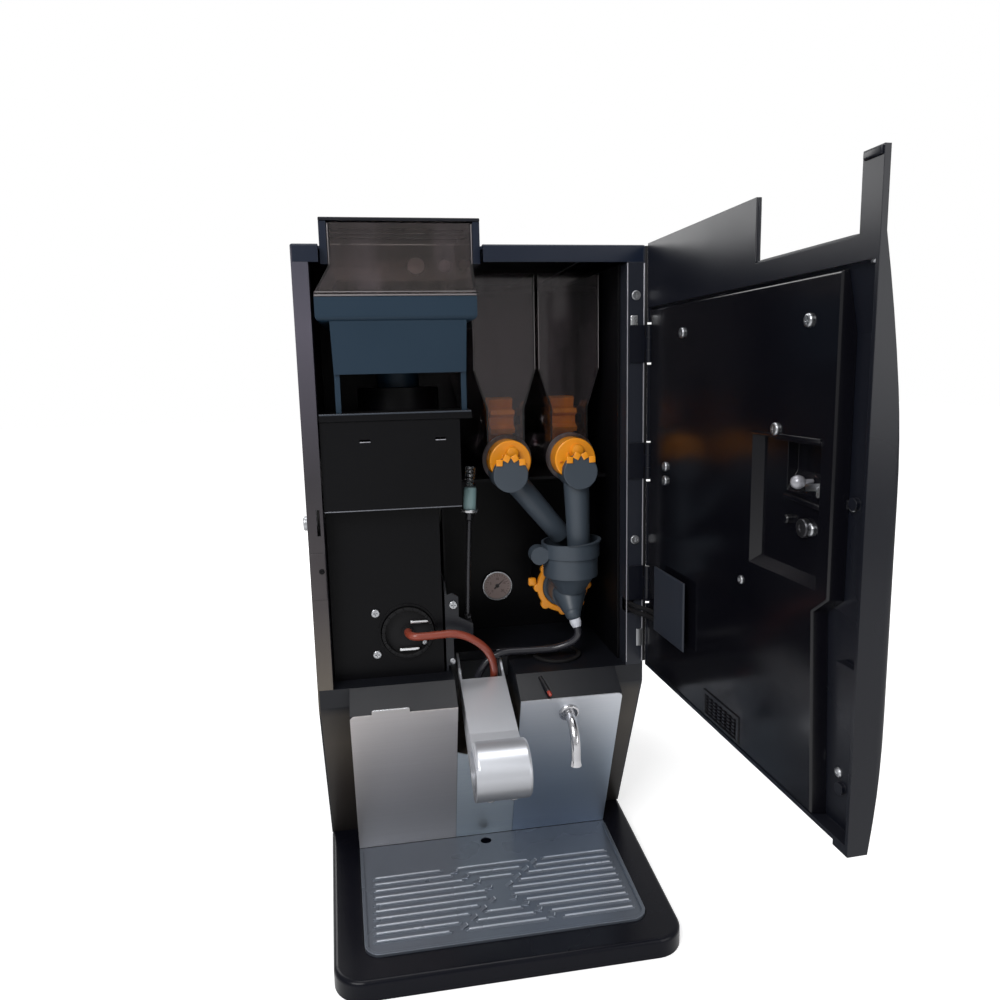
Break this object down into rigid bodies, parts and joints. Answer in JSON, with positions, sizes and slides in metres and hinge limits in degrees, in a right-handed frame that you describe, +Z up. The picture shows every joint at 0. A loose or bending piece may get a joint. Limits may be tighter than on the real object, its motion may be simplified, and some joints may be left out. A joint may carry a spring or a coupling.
{
  "type": "instant coffee machine",
  "caption": "Bean-to-cup and instant coffee machine with an open front door, clear bean hopper, powder canisters, mixer, outlet arm, hot-water spout and drip tray.",
  "frame": {"origin": "on the counter, under the middle of the cabinet's front plane", "axes": "+Z up, +Y towards the back, +X to the right as seen from the front"},
  "size_m": [0.3694, 0.7539, 0.661],
  "materials": {
    "black_metal": "satin",
    "black_plastic": "matte",
    "black_gloss": "gloss",
    "grey_metal": "satin",
    "steel": "brushed",
    "chrome": "polished",
    "silver": "satin",
    "slate": "matte",
    "grey_plastic": "matte",
    "dark_slate": "matte",
    "smoky": "clear",
    "orange": "gloss",
    "white_plastic": "matte",
    "rubber": "matte",
    "hose_red": "satin",
    "hose_dark": "satin",
    "gauge_face": "satin",
    "needle": "satin",
    "board": "satin",
    "brass": "satin"
  },
  "bodies": {
    "cabinet": {"base_housing": "black_plastic", "foot_pads": "rubber", "side_panel_left": "grey_metal", "side_panel_right": "grey_metal", "back_panel": "black_metal", "rear_inlets": "brass", "top_cover": "black_plastic", "recess_housing": "black_plastic", "bay_liner": "black_plastic", "brew_cover_upper": "dark_slate", "brew_cover_lower": "black_plastic", "splash_left": "steel", "splash_centre": "steel", "splash_right": "steel", "hot_water_spout": "chrome", "hopper_window": "smoky", "hopper_bin": "slate", "canister_left": "smoky", "canister_right": "smoky", "dosing_motors": "black_metal", "powder_chutes": "grey_plastic", "mixer_lid": "grey_plastic", "mixer_bowl": "grey_plastic", "mixer_motor": "black_plastic", "mixer_nozzle": "white_plastic", "mixer_hose": "hose_dark", "brew_hose": "hose_red", "brew_fitting": "black_plastic", "brew_group": "black_plastic", "boiler": "steel", "pump": "black_metal", "power_board": "board", "grinder": "black_metal", "gauge_body": "gauge_face", "relief_pipe": "steel", "arm_bracket": "dark_slate", "hinge_brackets": "grey_metal", "panel_screws": "chrome", "door_cables": "rubber"},
    "door": {"door_shell": "black_gloss", "door_liner": "black_plastic", "cable_cover": "dark_slate", "hinge_leaves": "grey_metal", "door_screws": "chrome"},
    "lock_barrel_body": {"lock_barrel": "chrome"},
    "drip_plate_body": {"drip_plate": "steel"},
    "outlet_arm_body": {"outlet_arm": "silver"},
    "hopper_lid_body": {"hopper_lid": "smoky"},
    "top_lid_body": {"top_lid": "black_plastic"},
    "auger_left_body": {"auger_left": "white_plastic"},
    "auger_right_body": {"auger_right": "white_plastic"},
    "mix_wheel_left_body": {"mix_wheel_left": "orange"},
    "mix_wheel_right_body": {"mix_wheel_right": "orange"},
    "outlet_cap_left_body": {"outlet_cap_left": "orange"},
    "outlet_cap_right_body": {"outlet_cap_right": "orange"},
    "mixer_lock_ring_body": {"mixer_lock_ring": "orange"},
    "whipper_wheel_body": {"whipper_wheel": "white_plastic"},
    "gauge_needle_body": {"gauge_needle": "needle"},
    "brew_piston_body": {"brew_piston": "white_plastic"},
    "grinder_burr_body": {"grinder_burr": "steel"}
  },
  "joints": [
    {"name": "door_hinge", "type": "hinge", "parent": "cabinet", "child": "door", "pos_m": [0.168, -0.005, 0.42], "axis": [0, 0, 1], "range_deg": [-92, 25], "deforming": ["door_cables"]},
    {"name": "arm_tilt", "type": "hinge", "parent": "cabinet", "child": "outlet_arm_body", "pos_m": [0, 0.053, 0.217], "axis": [-1, 0, 0], "range_deg": [0, 15], "deforming": ["brew_hose", "mixer_hose"]},
    {"name": "drip_plate_lift", "type": "slide", "parent": "cabinet", "child": "drip_plate_body", "axis": [0, -0.3572, 0.934], "range_m": [0, 0.06]},
    {"name": "hopper_lid_hinge", "type": "hinge", "parent": "cabinet", "child": "hopper_lid_body", "pos_m": [-0.06625, 0.1525, 0.659], "axis": [-1, 0, 0], "range_deg": [0, 100]},
    {"name": "top_lid_hinge", "type": "hinge", "parent": "cabinet", "child": "top_lid_body", "pos_m": [0.071, 0.336, 0.637], "axis": [-1, 0, 0], "range_deg": [0, 85]},
    {"name": "auger_left_spin", "type": "hinge", "parent": "cabinet", "child": "auger_left_body", "pos_m": [0.037, 0, 0.428], "axis": [0, 1, 0], "continuous": true},
    {"name": "auger_right_spin", "type": "hinge", "parent": "cabinet", "child": "auger_right_body", "pos_m": [0.105, 0, 0.428], "axis": [0, 1, 0], "continuous": true},
    {"name": "mix_wheel_left_spin", "type": "hinge", "parent": "cabinet", "child": "mix_wheel_left_body", "pos_m": [0.037, 0.104, 0.46592], "axis": [1, 0, 0], "continuous": true},
    {"name": "mix_wheel_right_spin", "type": "hinge", "parent": "cabinet", "child": "mix_wheel_right_body", "pos_m": [0.105, 0.104, 0.46592], "axis": [1, 0, 0], "continuous": true},
    {"name": "cap_left_turn", "type": "hinge", "parent": "cabinet", "child": "outlet_cap_left_body", "pos_m": [0.037, 0.05, 0.428], "axis": [0, 1, 0], "range_deg": [0, 90]},
    {"name": "cap_right_turn", "type": "hinge", "parent": "cabinet", "child": "outlet_cap_right_body", "pos_m": [0.105, 0.05, 0.428], "axis": [0, 1, 0], "range_deg": [0, 90]},
    {"name": "lock_ring_turn", "type": "hinge", "parent": "cabinet", "child": "mixer_lock_ring_body", "pos_m": [0.102, 0.087, 0.28], "axis": [0, 1, 0], "range_deg": [0, 45]},
    {"name": "whipper_spin", "type": "hinge", "parent": "cabinet", "child": "whipper_wheel_body", "pos_m": [0.102, 0.08, 0.28], "axis": [0, 1, 0], "continuous": true},
    {"name": "needle_turn", "type": "hinge", "parent": "cabinet", "child": "gauge_needle_body", "pos_m": [0.038, 0.148, 0.268], "axis": [0, 1, 0], "range_deg": [-90, 150]},
    {"name": "piston_slide", "type": "slide", "parent": "cabinet", "child": "brew_piston_body", "axis": [0, 0, 1], "range_m": [-0.028, 0]},
    {"name": "burr_spin", "type": "hinge", "parent": "cabinet", "child": "grinder_burr_body", "pos_m": [-0.07125, 0.095, 0.47], "axis": [0, 0, 1], "continuous": true},
    {"name": "lock_turn", "type": "hinge", "parent": "cabinet", "child": "lock_barrel_body", "pos_m": [-0.165, 0.012, 0.38], "axis": [-1, 0, 0], "range_deg": [0, 90]}
  ],
  "couplings": [
    {"joint": "mix_wheel_left_spin", "follows": "auger_left_spin", "ratio": -0.125},
    {"joint": "mix_wheel_right_spin", "follows": "auger_right_spin", "ratio": -0.125}
  ]
}
